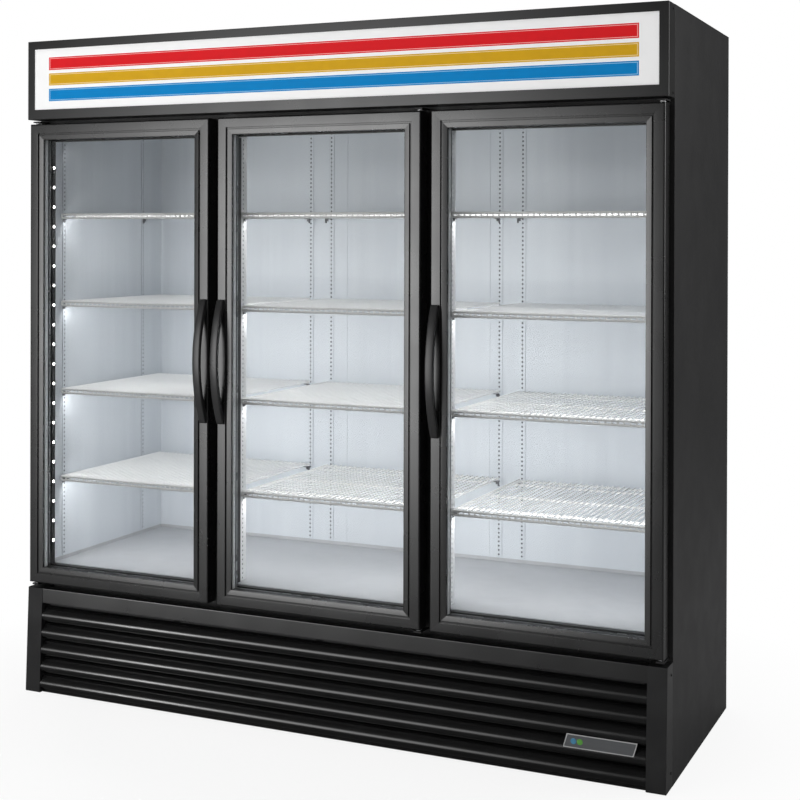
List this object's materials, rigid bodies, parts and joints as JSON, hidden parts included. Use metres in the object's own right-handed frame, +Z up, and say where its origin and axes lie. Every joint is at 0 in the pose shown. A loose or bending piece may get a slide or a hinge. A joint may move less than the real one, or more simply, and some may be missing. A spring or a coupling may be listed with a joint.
{
  "type": "reach in refrigerator",
  "caption": "Wide glass-door reach-in merchandiser refrigerator with hinged framed doors, wire shelves, sign header and a louvred lower grille over a condensing unit.",
  "frame": {"origin": "bottom centre of the whole object's box, on the floor, handles included", "axes": "+Z up, +X to the right for a person facing the doors, -Y out of the doors towards that person"},
  "size_m": [1.984, 0.8114, 1.997],
  "materials": {
    "black_coated_steel": "satin black powder coat on sheet steel",
    "black_frame": "satin black anodised extrusion",
    "black_plastic": "black moulded plastic, fine grain",
    "sign_white": "white translucent acrylic with plain colour bands",
    "lamp_white": "frosted lamp cover",
    "liner_white": "white coated aluminium, semi-gloss",
    "foam": "foamed insulation",
    "glass": "clear insulated glass",
    "gasket": "black magnetic gasket",
    "shelf_white": "white coated wire",
    "bright_steel": "plated steel",
    "galvanised": "galvanised sheet",
    "aluminium": "aluminium fins",
    "compressor_black": "black enamel",
    "grey_plastic": "grey moulded plastic",
    "white_plastic": "white moulded plastic"
  },
  "bodies": {
    "cabinet": {"badge": "bright_steel", "base_frame": "galvanised", "compressor": "compressor_black", "condenser_coil": "aluminium", "control_box": "galvanised", "cord_gland": "black_plastic", "drain_pan": "grey_plastic", "evaporator_coil": "aluminium", "evaporator_housing": "white_plastic", "face_frame": "black_frame", "fan_shroud": "galvanised", "grille_cap_left": "black_plastic", "grille_cap_right": "black_plastic", "hinge_low_centre": "black_coated_steel", "hinge_low_left": "black_coated_steel", "hinge_low_right": "black_coated_steel", "hinge_top_centre": "black_coated_steel", "hinge_top_left": "black_coated_steel", "hinge_top_right": "black_coated_steel", "insulation": "foam", "liner": "liner_white", "louvre_panel": "black_plastic", "mullion_left": "black_frame", "mullion_right": "black_frame", "rear_panel": "galvanised", "shelf_centre_1": "shelf_white", "shelf_centre_2": "shelf_white", "shelf_centre_3": "shelf_white", "shelf_centre_4": "shelf_white", "shelf_left_1": "shelf_white", "shelf_left_2": "shelf_white", "shelf_left_3": "shelf_white", "shelf_left_4": "shelf_white", "shelf_right_1": "shelf_white", "shelf_right_2": "shelf_white", "shelf_right_3": "shelf_white", "shelf_right_4": "shelf_white", "side_panel_left": "black_coated_steel", "side_panel_right": "black_coated_steel", "sign_frame": "black_coated_steel", "sign_lamp": "lamp_white", "sign_panel": "sign_white", "top_panel": "black_coated_steel"},
    "left_door": {"door_frame_left": "black_frame", "glass_unit_left": "glass", "gasket_left": "gasket", "handle_left": "black_plastic"},
    "centre_door": {"door_frame_centre": "black_frame", "glass_unit_centre": "glass", "gasket_centre": "gasket", "handle_centre": "black_plastic"},
    "right_door": {"door_frame_right": "black_frame", "glass_unit_right": "glass", "gasket_right": "gasket", "handle_right": "black_plastic"},
    "condenser_fan": {"condenser_fan": "grey_plastic"},
    "evaporator_fan_left": {"evaporator_fan_left": "grey_plastic"},
    "evaporator_fan_right": {"evaporator_fan_right": "grey_plastic"},
    "light_switch": {"light_switch": "black_plastic"},
    "thermostat_knob": {"thermostat_knob": "black_plastic"}
  },
  "joints": [
    {"name": "left_door_hinge", "type": "hinge", "parent": "cabinet", "child": "left_door", "pos_m": [-0.971, -0.3347, 0.336], "axis": [0, 0, -1], "range_deg": [0, 90], "stiffness_Nm_per_rad": 2.5, "springref_deg": -20.05},
    {"name": "centre_door_hinge", "type": "hinge", "parent": "cabinet", "child": "centre_door", "pos_m": [0.306, -0.3347, 0.336], "axis": [0, 0, 1], "range_deg": [0, 90], "stiffness_Nm_per_rad": 2.5, "springref_deg": -20.05},
    {"name": "right_door_hinge", "type": "hinge", "parent": "cabinet", "child": "right_door", "pos_m": [0.971, -0.3347, 0.336], "axis": [0, 0, 1], "range_deg": [0, 90], "stiffness_Nm_per_rad": 2.5, "springref_deg": -20.05},
    {"name": "condenser_fan_spin", "type": "hinge", "parent": "cabinet", "child": "condenser_fan", "pos_m": [-0.1, -0.1093, 0.14], "axis": [0, 1, 0], "continuous": true},
    {"name": "evaporator_fan_left_spin", "type": "hinge", "parent": "cabinet", "child": "evaporator_fan_left", "pos_m": [-0.22, -0.0797, 1.8533], "axis": [0, 1, 0], "continuous": true},
    {"name": "evaporator_fan_right_spin", "type": "hinge", "parent": "cabinet", "child": "evaporator_fan_right", "pos_m": [0.22, -0.0797, 1.8533], "axis": [0, 1, 0], "continuous": true},
    {"name": "light_switch_rock", "type": "hinge", "parent": "cabinet", "child": "light_switch", "pos_m": [0.394, -0.0967, 1.8533], "axis": [1, 0, 0], "range_deg": [-14, 0]},
    {"name": "thermostat_turn", "type": "hinge", "parent": "cabinet", "child": "thermostat_knob", "pos_m": [-0.39, -0.0997, 1.8533], "axis": [0, 1, 0], "range_deg": [0, 270]}
  ]
}
